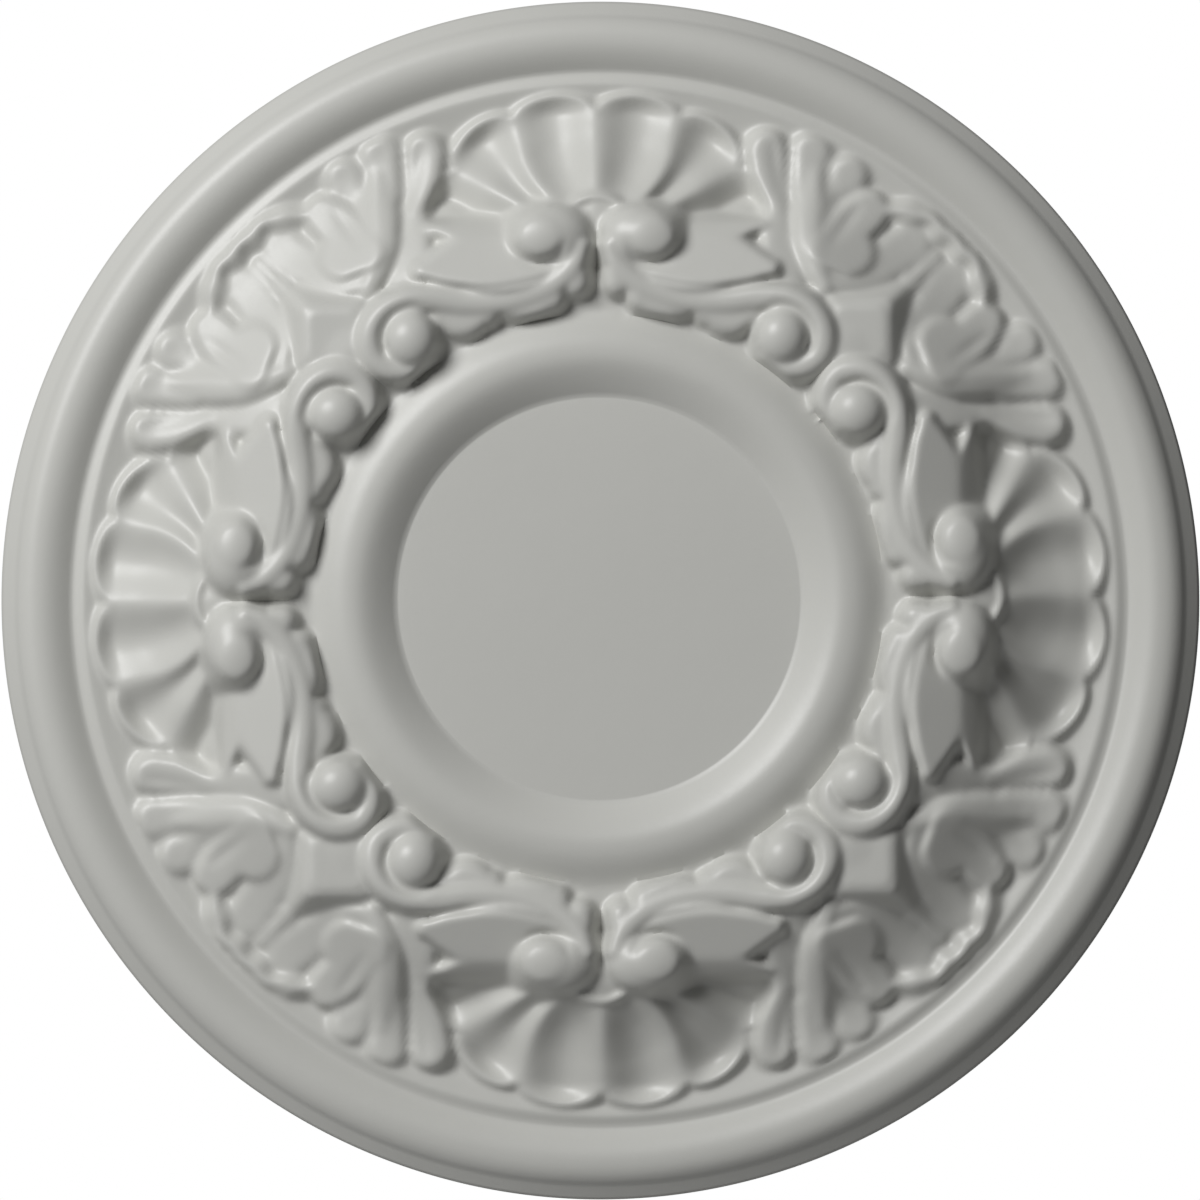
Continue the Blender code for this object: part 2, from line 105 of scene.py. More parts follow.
def cushion(share: Grid, drop: float, width: Grid | float, squareness: float = 2.0) -> Grid:
    """Give a rounded section.

    Args:
        share: Distance from the crest as a share of the half width.
        drop: How far the edge lies under the crest.
        width: Half width of the section.
        squareness: 2 for an ellipse, more for a flatter top.

    Returns:
        0 on the crest, down to minus drop at the edge, and steeply down beyond it.
    """
    inside = -drop * (1.0 - np.sqrt(np.clip(1.0 - np.abs(share) ** squareness, 0.0, 1.0)))
    outside = -drop - (share - 1.0) * width * EDGE_SLOPE
    return np.where(share <= 1.0, inside, outside)


def smooth_line(stations: Stations, steps: int = 8) -> Grid:
    """Run a Catmull-Rom curve through stations.

    Args:
        stations: Rows of across, up, half width and level.
        steps: Points to each span.

    Returns:
        Rows of the same four values along the curve.
    """
    given = np.asarray(stations, float)
    ends = np.vstack([2 * given[0] - given[1], given, 2 * given[-1] - given[-2]])
    share = np.linspace(0.0, 1.0, steps, endpoint=False)[:, None]
    spans = []
    for a, b, c, d in zip(ends[:-3], ends[1:-2], ends[2:-1], ends[3:]):
        spans.append(0.5 * (2 * b + (c - a) * share + (2 * a - 5 * b + 4 * c - d) * share ** 2
                            + (3 * b - a - 3 * c + d) * share ** 3))
    return np.vstack(spans + [given[-1:]])


def follow(across: Grid, up: Grid, stations: Stations) -> tuple[Grid, Grid, Grid]:
    """Find the nearest place on a curve.

    Args:
        across: Where the points are, across.
        up: Where the points are, up.
        stations: The curve's across, up, half width and level.

    Returns:
        The distance to the curve, and the half width and level there.
    """
    line = smooth_line(stations)
    nearest = np.full(across.shape, np.inf)
    width = np.ones(across.shape)
    level = np.zeros(across.shape)
    for a, b in zip(line[:-1], line[1:]):
        step = b[:2] - a[:2]
        share = np.clip(((across - a[0]) * step[0] + (up - a[1]) * step[1]) / step.dot(step), 0.0, 1.0)
        away = np.hypot(across - a[0] - share * step[0], up - a[1] - share * step[1])
        closer = away < nearest
        nearest = np.where(closer, away, nearest)
        width = np.where(closer, a[2] + share * (b[2] - a[2]), width)
        level = np.where(closer, a[3] + share * (b[3] - a[3]), level)
    return nearest, width, level


def shoulder(radius: Grid) -> Grid:
    """Level that the leaves lie on: high beside the scrolls, low at the fillet."""
    return SHOULDER_LOW + SHOULDER_RISE * (1.0 - cosine_step((radius - SHOULDER_START) / SHOULDER_RUN))


class Datum(Enum):
    """What the levels of a member are measured from."""

    BACK = "the flat back"
    SHOULDER = "the shoulder that the leaves lie on"


class Member(Protocol):
    """One carved member of the drawing."""

    blend: float

    def level(self, across: Grid, up: Grid) -> Grid:
        """Level of the member over the flat back."""


@dataclass(frozen=True)
class Stroke:
    """A member that follows a curve, with its width and level changing along it."""

    stations: Stations
    drop: float
    squareness: float
    blend: float
    datum: Datum = Datum.BACK

    def level(self, across: Grid, up: Grid) -> Grid:
        """Give the level of the stroke.

        Args:
            across: Where the points are, across.
            up: Where the points are, up.

        Returns:
            Levels over the flat back, in shares.
        """
        away, width, crest = follow(across, up, self.stations)
        if self.datum is Datum.SHOULDER:
            crest = crest + shoulder(np.hypot(across, up))
        return crest + cushion(away / width, self.drop, width, self.squareness)


@dataclass(frozen=True)
class Boss:
    """An oval cushion."""

    centre: tuple[float, float]
    radii: tuple[float, float]
    crest: float
    drop: float
    blend: float

    def level(self, across: Grid, up: Grid) -> Grid:
        """Level of the boss over the flat back."""
        share = np.hypot((across - self.centre[0]) / self.radii[0], (up - self.centre[1]) / self.radii[1])
        return self.crest + cushion(share, self.drop, min(self.radii))


@dataclass(frozen=True)
class Plate:
    """A leaf with a leaning top, a rounded edge and an outline of overlapping lobes."""

    lobes: Sequence[Stations]
    crest: float
    middle: tuple[float, float] = (0.0, 0.0)
    lean: tuple[float, float] = (0.0, 0.0)
    edge: float = 3.0
    drop: float = 2.0
    knit: float = 1.5
    blend: float = 0.5
    datum: Datum = Datum.BACK

    def inside(self, across: Grid, up: Grid) -> Grid:
        """Measure how far in from the outline points lie.

        Args:
            across: Where the points are, across.
            up: Where the points are, up.

        Returns:
            Distances in shares, below 0 outside.
        """
        distance = np.full(across.shape, FAR_OUTSIDE)
        for lobe in self.lobes:
            away, width, _ = follow(across, up, lobe)
            distance = join(distance, width - away, self.knit)
        return distance

    def top(self, across: Grid, up: Grid) -> Grid:
        """Level of the leaf away from its edge."""
        top = self.crest + self.lean[0] * (across - self.middle[0]) + self.lean[1] * (up - self.middle[1])
        return top + shoulder(np.hypot(across, up)) if self.datum is Datum.SHOULDER else top

    def level(self, across: Grid, up: Grid) -> Grid:
        """Level of the leaf over the flat back."""
        share = np.clip(1.0 - self.inside(across, up) / self.edge, 0.0, None)
        return self.top(across, up) + cushion(share, self.drop, self.edge)


@dataclass(frozen=True)
class Petal(Plate):
    """The smooth leaf beside the large volute, which bends down twice towards the last flute."""

    bends: tuple[tuple[float, float], ...] = ((120.5, 0.80), (128.0, -0.35))
    bend_width: float = 0.8
    side_fall: float = 0.40
    side_start: float = 26.0
    side_up: float = 124.0
    side_run: float = 8.0

    def top(self, across: Grid, up: Grid) -> Grid:
        """Give the level of the petal away from its edge.

        Args:
            across: Where the points are, across.
            up: Where the points are, up.

        Returns:
            Levels over the flat back, in shares.
        """
        top = super().top(across, up)
        for start, fall in self.bends:
            top = top - fall * self.bend_width * np.logaddexp(0.0, (up - start) / self.bend_width)
        beside = self.side_fall * np.clip(across - self.side_start, 0.0, None)
        return top - beside * smooth_step((up - self.side_up) / self.side_run)


@dataclass(frozen=True)
class ShellFan:
    """Half of a shell: three hollow flutes that fan out from its foot to a scalloped lip."""

    foot_up: float = 118.0
    foot_reach: float = 8.0
    inner_ridges: tuple[float, ...] = (0.0, 46.0, 62.0, 93.0)
    outer_ridges: tuple[float, ...] = (0.0, 33.0, 62.0, 93.0)
    turn_start: float = 22.0
    turn_run: float = 32.0
    tips: tuple[float, ...] = (53.4, 58.6, 60.5)
    dips: tuple[float, ...] = (46.5, 51.5, 54.0, 55.5)
    low: float = 12.2
    fall: float = 12.7
    fall_run: float = 38.0
    side_run: float = 14.0
    side_angle: float = 0.52
    droop: float = 2.8
    droop_run: float = 16.0
    flank_rise: float = 3.0
    flank_angle: float = 1.2
    flank_spread: float = 0.4
    flank_run: float = 25.0
    outer_part: float = 30.0
    flute_depth: float = 4.4
    flute_run: float = 20.0
    flute_power: float = 1.6
    flute_margin: float = 0.6
    flute_end_run: float = 7.0
    lip: float = 0.8
    lip_place: float = 1.2
    lip_width: float = 1.3
    lip_run: float = 12.0
    edge: float = 2.4
    edge_drop: float = 1.2
    edge_width: float = 1.8
    last_angle: float = 91.0
    blend: float = 0.4

    def level(self, across: Grid, up: Grid) -> Grid:
        """Give the level of the shell: its body, less the flutes, with its lip and edge.

        Args:
            across: Where the points are, across.
            up: Where the points are, up.

        Returns:
            Levels over the flat back, in shares.
        """
        reach = np.hypot(across, up - self.foot_up)
        angle = np.arctan2(across, up - self.foot_up)
        lean = smooth_step((reach - self.turn_start) / self.turn_run)
        ridges = [np.radians(near + (far - near) * lean)
                  for near, far in zip(self.inner_ridges, self.outer_ridges)]
        lobe = sum((angle > ridge).astype(int) for ridge in ridges[1:-1])
        start, stop = np.choose(lobe, ridges[:-1]), np.choose(lobe, ridges[1:])
        part = np.clip((angle - start) / (stop - start), 0.0, 1.0)
        first, second = np.take(self.dips, lobe), np.take(self.dips, lobe + 1)
        bulge = np.take(self.tips, lobe) - 0.5 * (first + second)
        arch = np.sqrt(np.clip(1.0 - (2.0 * part - 1.0) ** 2, 0.0, 1.0))
        inside = first + (second - first) * part + bulge * arch - reach
        scoop = (smooth_step((reach - self.foot_reach) / self.flute_run)
                 * smooth_step((inside - self.flute_margin) / self.flute_end_run))
        flute = self.flute_depth * scoop * np.sin(np.pi * part) ** self.flute_power
        lip = self.lip * np.exp(-((inside - self.lip_place) / self.lip_width) ** 2)
        lip = lip * smooth_step((reach - self.outer_part) / self.lip_run)
        past_last = np.clip(angle - np.radians(self.last_angle), 0.0, None) * reach
        edge = cushion(np.clip(1.0 - inside / self.edge, 0.0, None), self.edge_drop, self.edge_width)
        return self.body(reach, angle) - flute + lip + edge - past_last * EDGE_SLOPE

    def body(self, reach: Grid, angle: Grid) -> Grid:
        """Give the shell's slope without its flutes.

        Args:
            reach: Distance from the shell's foot.
            angle: Angle from the shell's middle line, in radians.

        Returns:
            Levels over the flat back, in shares.
        """
        run = self.fall_run + self.side_run * smooth_step((angle - self.side_angle) / self.side_angle)
        body = self.low + self.fall * (1.0 - cosine_step((reach - self.foot_reach) / run))
        body = body - self.droop * smooth_step((reach - self.fall_run) / self.droop_run)
        flank = self.flank_rise * smooth_step((angle - self.flank_angle) / self.flank_spread)
        return body + flank * (1.0 - cosine_step((reach - self.outer_part) / self.flank_run))


@dataclass(frozen=True)
class ShellHinge:
    """Arched fillet over the pair of volutes, where the flutes start."""

    centre_up: float = 121.5
    radius: float = 12.0
    half_width: float = 1.6
    crest: float = 25.0
    start: float = 4.5
    blend: float = 0.4

    def level(self, across: Grid, up: Grid) -> Grid:
        """Give the level of the arch, with nothing under the volutes.

        Args:
            across: Where the points are, across.
            up: Where the points are, up.

        Returns:
            Levels over the flat back, in shares.
        """
        away = np.abs(np.hypot(across, up - self.centre_up) - self.radius)
        arch = self.crest + cushion(away / self.half_width, self.half_width, self.half_width)
        return np.where(up > self.centre_up + self.start, arch, 0.0)


@dataclass(frozen=True)
class CurledTip:
    """Rolled tip of the leaf beside the fillet: squared off outside, hollow and lobed inside."""

    crest: float = 12.9
    side: float = 131.8
    reach: float = 171.8
    back_width: float = 2.6
    back_slope: float = 1.3
    hollow_slope: float = 0.68
    roundness: float = 0.7
    lobe: float = 9.7
    lobe_width: float = 1.0
    crease: float = 1.3
    crease_run: float = 4.0
    corner: float = 4.0
    blend: float = 0.6

    def level(self, across: Grid, up: Grid) -> Grid:
        """Give the level of the roll, its lobes and the hollow behind it.

        Args:
            across: Where the points are, across.
            up: Where the points are, up.

        Returns:
            Levels over the flat back, in shares.
        """
        beside = (up - across) / math.sqrt(2.0)
        outer = -join(up - self.side, np.hypot(across, up) - self.reach, self.corner)
        lobes = 0.5 - 0.5 * np.cos(2.0 * math.pi * beside / self.lobe)
        past = (outer - self.back_width - self.lobe_width * lobes) / self.roundness
        back = self.back_slope * self.roundness * np.logaddexp(0.0, -past)
        hollow = self.hollow_slope * self.roundness * np.logaddexp(0.0, past)
        crease = self.crease * (1.0 - lobes) ** 2 * smooth_step((outer - self.back_width) / self.crease_run)
        return self.crest - back - hollow - crease


@dataclass(frozen=True)
class SquareBoss:
    """Flat square between the small volutes, on its sloping root."""

    middle: float = 87.5
    half: float = 8.0
    crest: float = 29.6
    corner: float = 4.0
    root_width: float = 3.0
    root_slope: float = 0.5
    outer_slope: float = 1.4
    blend: float = 1.0

    def level(self, across: Grid, up: Grid) -> Grid:
        """Give the level of the square and the root around it.

        Args:
            across: Where the points are, across.
            up: Where the points are, up.

        Returns:
            Levels over the flat back, in shares.
        """
        past = join(np.abs(across - self.middle), np.abs(up - self.middle), self.corner) - self.half
        root = self.root_slope * np.clip(past, 0.0, None)
        return self.crest - root - self.outer_slope * np.clip(past - self.root_width, 0.0, None)


@dataclass(frozen=True)
class Groove:
    """A fine cut along a curve, whose stations give half width and depth."""

    stations: Stations

    def depth(self, across: Grid, up: Grid) -> Grid:
        """How deep the groove is cut."""
        away, width, depth = follow(across, up, self.stations)
        return depth * np.exp(-(away / width) ** 2)


def acanthus() -> list[Member]:
    """Draw half an acanthus leaf, from its bed to the lobes that lie on top.

    Returns:
        Its members, lowest first.
    """
    on_shoulder = {"datum": Datum.SHOULDER}
    return [
        Stroke(((62, 106, 8.0, -2.2), (62, 118, 7.5, -2.4), (66, 132, 9.5, -2.2), (68.5, 142, 12.5, -2.2)),
               3.0, 4.0, 1.4, **on_shoulder),
        Stroke(((79, 107, 8.0, -1.4), (86, 116, 12.0, -2.4), (90, 124, 13.0, -2.2)),
               3.0, 4.0, 1.2, **on_shoulder),
        Stroke(((84, 84, 10.0, 0.0), (92, 92, 6.0, 0.6), (99, 99, 4.0, 1.0), (106, 106, 2.8, 0.9),
                (113.5, 113.5, 2.2, 0.4)), 2.2, 2.0, 1.2, **on_shoulder),
        Plate((((61.0, 130, 3.6, 0), (59.2, 137, 5.0, 0), (57.8, 143, 6.2, 0), (57.3, 149.3, 6.9, 0)),),
              1.5, (0, 149), (0, 0.19), 3.6, 2.2, 1.5, 1.8, **on_shoulder),
        Plate((((79, 127, 6.0, 0), (81.5, 134, 6.6, 0), (84, 140.6, 7.0, 0)),),
              1.2, (0, 140), (0, 0.10), 3.6, 2.2, 1.5, 1.6, **on_shoulder),
        Plate((((70.5, 136, 6.0, 0), (71.2, 142, 6.8, 0), (71.7, 148.2, 7.2, 0)),),
              1.6, (0, 148), (0, 0.06), 3.6, 2.2, 1.5, 1.6, **on_shoulder),
        Stroke(((76.5, 104, 5.0, 0.4), (74.6, 110, 6.2, 1.8), (73.6, 117, 7.6, 3.0), (73.2, 126, 8.2, 3.4),
                (73.4, 135, 7.4, 3.0), (73.6, 141, 5.6, 2.2)), 5.2, 1.35, 1.2, **on_shoulder),
        Plate((((76, 107, 4.0, 0), (84, 105.6, 4.6, 0), (92.5, 108.6, 6.0, 0), (99, 113.8, 7.4, 0),
                (104.5, 117.6, 7.6, 0)),), 0.2, edge=3.5, drop=1.8, **on_shoulder),
        Plate((((76, 116, 6.0, 0), (81, 120.6, 8.4, 0), (86, 125.2, 8.2, 0), (90.2, 128.4, 7.6, 0)),
               ((77, 115.5, 6.6, 0), (84.8, 114.6, 8.4, 0))),
              2.9, (76, 0), (-0.05, 0.0), 2.4, 2.4, 1.0, 1.6, **on_shoulder),
    ]


def scrolls() -> list[Member]:
    """Draw the S-scroll with its lobes, the petal above it and the two volutes.

    Returns:
        Their members, lowest first.
    """
    return [
        Plate((((7.0, 104.8, 5.0, 0), (7.4, 107, 5.4, 0)),
               ((16, 100.8, 6.4, 0), (22, 99.4, 7.9, 0), (27.5, 99.6, 7.4, 0)),
               ((38, 96.8, 7.2, 0), (44.5, 94.9, 8.8, 0), (50, 95.5, 6.6, 0))),
              29.9, (0.0, 98.0), (0.0, 0.10), 4.4, 4.4, 0.8, 0.8),
        Stroke(((4.6, 117, 3.4, 32.4), (7.4, 110.6, 4.0, 32.0), (13.6, 104.9, 4.6, 31.4),
                (22, 101.0, 4.7, 31.0), (32, 98.6, 4.7, 31.0), (43, 98.3, 4.8, 31.4), (54, 99.6, 4.8, 32.4),
                (63.5, 98.6, 4.8, 33.6), (71.2, 94.2, 4.8, 34.0), (74.8, 87.6, 4.9, 33.8),
                (74.0, 80.8, 4.7, 33.0), (68.8, 76.6, 4.4, 32.2), (62.0, 76.4, 4.0, 31.4),
                (57.0, 79.6, 3.4, 30.8)),
               4.4, 2.4, 0.8),
        Petal((((17, 113.5, 7.5, 0), (24, 112.2, 9.4, 0), (33, 111.8, 10.2, 0), (42, 112.1, 9.6, 0),
                (51, 110.4, 6.4, 0), (58, 109.3, 2.8, 0)),
               ((24, 122, 8.0, 0), (44, 126, 7.6, 0), (54.6, 127.6, 4.8, 0)),
               ((22, 130, 7.0, 0), (38, 134, 8.0, 0), (43, 137, 6.4, 0))),
              32.4, (0.0, 104.5), (0.0, -0.43), 2.4, 1.8, 1.0, 0.6),
        Boss((14.4, 120.3), (13.4, 10.6), 34.6, 9.6, blend=0.6),
        Boss((18.6, 119.6), (8.0, 7.4), 35.0, 3.0, blend=2.4),
        Boss((61.6, 86.4), (8.6, 8.9), 36.8, 6.5, blend=1.2),
    ]


def fine_grooves() -> list[Groove]:
    """Draw the cuts round the eyes of the volutes, beside the S-scroll and down the leaves.

    Returns:
        The cuts.
    """
    return [
        Groove(((10.4, 118.0, 0.9, 0.4), (12.6, 113.8, 1.3, 1.8), (17.6, 111.6, 1.5, 2.4),
                (23.0, 112.6, 1.4, 2.0), (27.0, 117.0, 1.1, 0.6))),
        Groove(((79, 118.5, 1.2, 0.4), (83.4, 125, 1.6, 1.1), (87, 130, 1.4, 0.7))),
        Groove(((55, 95.5, 1.0, 0.4), (61, 97.0, 1.3, 1.6), (67.6, 94.2, 1.4, 2.0), (71.2, 88, 1.4, 2.0),
                (70.0, 81.4, 1.2, 0.8))),
        Groove(((64.4, 153, 1.1, 1.2), (64.8, 146, 1.4, 1.4), (64.6, 134, 1.4, 1.2), (65.0, 122, 1.3, 0.8))),
        Groove(((13, 109.0, 0.9, 0.3), (20, 105.4, 1.1, 1.2), (32, 103.0, 1.1, 1.4), (44, 103.0, 1.1, 1.4),
                (55, 104.6, 1.1, 1.2), (62, 104.4, 1.0, 0.4))),
        Groove(((90.6, 136.0, 1.0, 0.6), (85.0, 134.0, 1.3, 1.3), (78.8, 128.6, 1.3, 1.3),
                (74.4, 121.6, 1.1, 0.5))),
        Groove(((62, 131, 1.0, 0.3), (60.6, 139, 1.4, 0.9), (59.4, 147, 1.5, 1.1), (59.0, 151.5, 1.2, 0.6))),
        Groove(((77.2, 131, 1.0, 0.4), (76.6, 138, 1.2, 1.2), (77.6, 145, 1.1, 1.0))),
    ]


def carved_members() -> list[Member]:
    """All the members, in the order that they overlap."""
    return [ShellFan(), ShellHinge(), *acanthus(), CurledTip(), SquareBoss(), *scrolls()]


@dataclass
class CarvedBand:
    """The drawing of the carved band: its ground, its members and its grooves."""

    inner: float = 94.5
    outer: float = 171.5
    valley: float = 96.5
    ring_crest: float = 81.5
    ring_fall: float = 4.8
    inner_ground: float = 22.4
    low_ground: float = 4.6
    outer_ground: float = 8.4
    ring_power: float = 1.35
    slope_start: float = 98.0
    slope_run: float = 54.0
    rise_start: float = 152.0
    rise_power: float = 1.5
    fade: float = 0.02
    members: list[Member] = field(default_factory=carved_members)
    grooves: list[Groove] = field(default_factory=fine_grooves)

    def ground(self, radius: Grid) -> Grid:
        """Give the level of the plain ground, with the inner ring's flank inside it.

        Args:
            radius: Distance of the points from the middle of the rose.

        Returns:
            Levels over the flat back, in shares.
        """
        share = np.clip((radius - self.ring_crest) / (self.valley - self.ring_crest), 0.0, 1.0)
        flank = self.inner_ground + self.ring_fall * (1.0 - smooth_step(share ** self.ring_power))
        sunk = cosine_step((radius - self.slope_start) / self.slope_run)
        slope = self.inner_ground - (self.inner_ground - self.low_ground) * sunk
        risen = np.clip((radius - self.rise_start) / (self.outer - self.rise_start), 0.0, 1.0)
        rise = (self.outer_ground - self.low_ground) * risen ** self.rise_power
        return np.where(radius < self.valley, flank, slope + rise)

    def rise(self, across: Grid, up: Grid) -> Grid:
        """Give the height of the carving over the ground.

        Args:
            across: Where the points are, across.
            up: Where the points are, up, and never less than across.

        Returns:
            Heights in shares, never under 0.
        """
        radius = np.hypot(across, up)
        level = self.ground(radius)
        for member in self.members:
            level = join(level, member.level(across, up), member.blend)
        for groove in self.grooves:
            level = level - groove.depth(across, up)
        share = (radius - self.inner) / (self.outer - self.inner)
        fade = smooth_step(share / self.fade) * smooth_step((1.0 - share) / self.fade)
        return np.clip(level - self.ground(radius), 0.0, None) * fade


@dataclass
class TurnedBlank:
    """The turned section that the carving stands on, in shares of the drawing."""

    floor: float = 19.5
    recess: float = 67.2
    floor_margin: float = 0.6
    ring_roundness: float = 7.5
    fillet_fall: float = 1.0
    fillet_start: float = 0.1
    fillet_run: float = 0.75
    outer_ring_rise: float = 4.8
    outer_ring_fall: float = 3.2
    outer_ring_width: float = 18.0
    outer_ring_crest: float = 0.58
    foot_power: float = 0.62
    back_power: float = 2.6
    rim_width: float = 5.0
    rim_edge_level: float = 4.2
    step_width: float = 0.6
    step_depth: float = 0.9
    ring_steps: int = 9
    fillet_steps: int = 8
    rim_steps: int = 6
    band_rings: int = 86

    def section(self, band: CarvedBand) -> list[tuple[float, float]]:
        """Give the section from the middle of the floor to the middle of the back.

        Args:
            band: The carved band, which the section leaves room for.

        Returns:
            Pairs of radius and level over the back.
        """
        points = [(0.0, self.floor), (self.recess - self.floor_margin, self.floor)]
        for share in np.linspace(1.0, 0.0, self.ring_steps, endpoint=False):
            points.append((band.ring_crest - (band.ring_crest - self.recess) * share,
                           self.ring_level(band, share)))
        for radius in np.linspace(band.ring_crest, band.inner, self.ring_steps, endpoint=False):
            points.append((float(radius), float(band.ground(radius))))
        for radius in np.linspace(band.inner, band.outer, self.band_rings):
            points.append((float(radius), float(band.ground(radius))))
        rim = DRAWN_RADIUS - self.rim_width
        ring = rim - self.step_width - self.outer_ring_width
        for share in np.linspace(0.0, 1.0, self.fillet_steps)[1:]:
            radius = band.outer + (ring - band.outer) * share
            sunk = smooth_step((share - self.fillet_start) / self.fillet_run)
            points.append((radius, band.outer_ground - self.fillet_fall * sunk))
        points += self.outer_ring(ring, rim - self.step_width, band.outer_ground - self.fillet_fall)[1:]
        rim_level = points[-1][1] - self.step_depth
        for share in np.linspace(0.0, 1.0, self.rim_steps):
            level = rim_level - (rim_level - self.rim_edge_level) * share
            points.append((rim + self.rim_width * share, level))
        return points + [(DRAWN_RADIUS, 0.0), (0.0, 0.0)]

    def ring_level(self, band: CarvedBand, share: float) -> float:
        """Give the inner ring's inner flank: round on top and straighter towards the floor.

        Args:
            band: The carved band, which starts at the ring's crest.
            share: How far down the flank, from 0 on the crest to 1 at the floor.

        Returns:
            Level over the flat back.
        """
        width = band.ring_crest - self.recess
        round_top = self.ring_roundness / width
        fall = (math.hypot(share, round_top) - round_top) / (math.hypot(1.0, round_top) - round_top)
        crest = band.inner_ground + band.ring_fall
        return crest - (crest - self.floor) * fall

    def outer_ring(self, start: float, end: float, ground: float) -> list[tuple[float, float]]:
        """Give the outer ring's section: a hollow foot, a round top and a steep fall to the rim.

        Args:
            start: Radius where the ring rises.
            end: Radius where it ends.
            ground: Level that it rises from.

        Returns:
            Pairs of radius and level over the back.
        """
        crest = start + self.outer_ring_crest * (end - start)
        points = []
        for radius in np.linspace(start, end, 2 * self.ring_steps):
            if radius < crest:
                share = (radius - start) / (crest - start)
                level = ground + self.outer_ring_rise * float(smooth_step(share ** self.foot_power))
            else:
                share = (radius - crest) / (end - crest)
                level = ground + self.outer_ring_rise - self.outer_ring_fall * share ** self.back_power
            points.append((float(radius), level))
        return points


class Socket:
    """A shader socket, so that sums of sockets and numbers read as sums."""

    def __init__(self, tree: "ShaderTree", link: bpy.types.NodeSocket | None) -> None:
        """Wrap an output socket of a tree, or nothing for a node that has none."""
        self.tree = tree
        self.link = link

    def _math(self, operation: str, first: Any, second: Any) -> "Socket":
        """Add a Math node."""
        return self.tree.node("ShaderNodeMath", {"operation": operation}, {0: first, 1: second})

    def __add__(self, other: Any) -> "Socket":
        """Sum."""
        return self._math("ADD", self, other)

    __radd__ = __add__

    def __sub__(self, other: Any) -> "Socket":
        """Difference."""
        return self._math("SUBTRACT", self, other)

    def __mul__(self, other: Any) -> "Socket":
        """Product."""
        return self._math("MULTIPLY", self, other)

    __rmul__ = __mul__


class ShaderTree:
    """A material's or a world's nodes."""

    def __init__(self, tree: bpy.types.NodeTree) -> None:
        """Take a node tree and empty it."""
        self.tree = tree
        tree.nodes.clear()

    def node(self, kind: str, settings: dict[str, Any] | None = None, inputs: dict[Any, Any] | None = None,
             output: int | str = 0) -> Socket:
        """Add a node.

        Args:
            kind: The node's type.
            settings: Its own settings.
            inputs: Values or sockets by the input's name or place.
            output: Which output is wanted.

        Returns:
            The wanted output.
        """
        made = self.tree.nodes.new(kind)
        for name, value in (settings or {}).items():
            setattr(made, name, value)
        for name, value in (inputs or {}).items():
            if isinstance(value, Socket):
                self.tree.links.new(value.link, made.inputs[name])
            else:
                made.inputs[name].default_value = value
        return Socket(self, made.outputs[output] if len(made.outputs) else None)

    def noise(self, place: Socket, scale: float, detail: float, roughness: float) -> Socket:
        """Add a noise.

        Args:
            place: Where it is looked up.
            scale: How fine it is.
            detail: Its octaves.
            roughness: How strong its finer octaves are.

        Returns:
            Its value, from 0 to 1.
        """
        return self.node("ShaderNodeTexNoise", inputs={"Vector": place, "Scale": scale, "Detail": detail,
                                                       "Roughness": roughness})


@dataclass(frozen=True)
class PrimerFinish:
    """Factory primer over moulded foam: satin and a little uneven in colour and sheen."""

    name: str = "Satin primer"
    colour: tuple[float, float, float] = (0.60, 0.60, 0.57)
    shade: tuple[float, float, float] = (0.52, 0.52, 0.49)
    roughness: float = 0.40
    roughness_spread: float = 0.10
    grain_spread: float = 0.08
    specular: float = 0.42
    cloud_scale: float = 22.0
    ripple_scale: float = 130.0
    grain_scale: float = 900.0
    cloud_tint: float = 0.35
    grain_tint: float = 0.15
    grain_height: float = 0.45
    bump_strength: float = 0.5
    grain_depth: float = 0.00012

    def material(self) -> bpy.types.Material:
        """Make the finish.

        Returns:
            The material.
        """
        material = bpy.data.materials.new(self.name)
        material.use_nodes = True
        tree = ShaderTree(material.node_tree)
        place = tree.node("ShaderNodeTexCoord", output="Object")
        cloud = tree.noise(place, self.cloud_scale, 3.0, 0.5)
        grain = tree.noise(place, self.grain_scale, 4.0, 0.6)
        ripple = tree.noise(place, self.ripple_scale, 2.0, 0.5)
        tint = tree.node("ShaderNodeMix", {"data_type": "RGBA"},
                         {0: self.cloud_tint * cloud + self.grain_tint * grain,
                          6: (*self.colour, 1.0), 7: (*self.shade, 1.0)}, output=2)
        sheen = (self.roughness + self.roughness_spread * (cloud - 0.5)
                 + self.grain_spread * (grain - 0.5))
        bump = tree.node("ShaderNodeBump", inputs={"Strength": self.bump_strength,
                                                   "Distance": self.grain_depth,
                                                   "Height": self.grain_height * grain + ripple})
        shader = tree.node("ShaderNodeBsdfPrincipled",
                           inputs={"Base Color": tint, "Roughness": sheen, "Metallic": 0.0,
                                   "Specular IOR Level": self.specular, "Normal": bump})
        tree.node("ShaderNodeOutputMaterial", inputs={"Surface": shader})
        return material


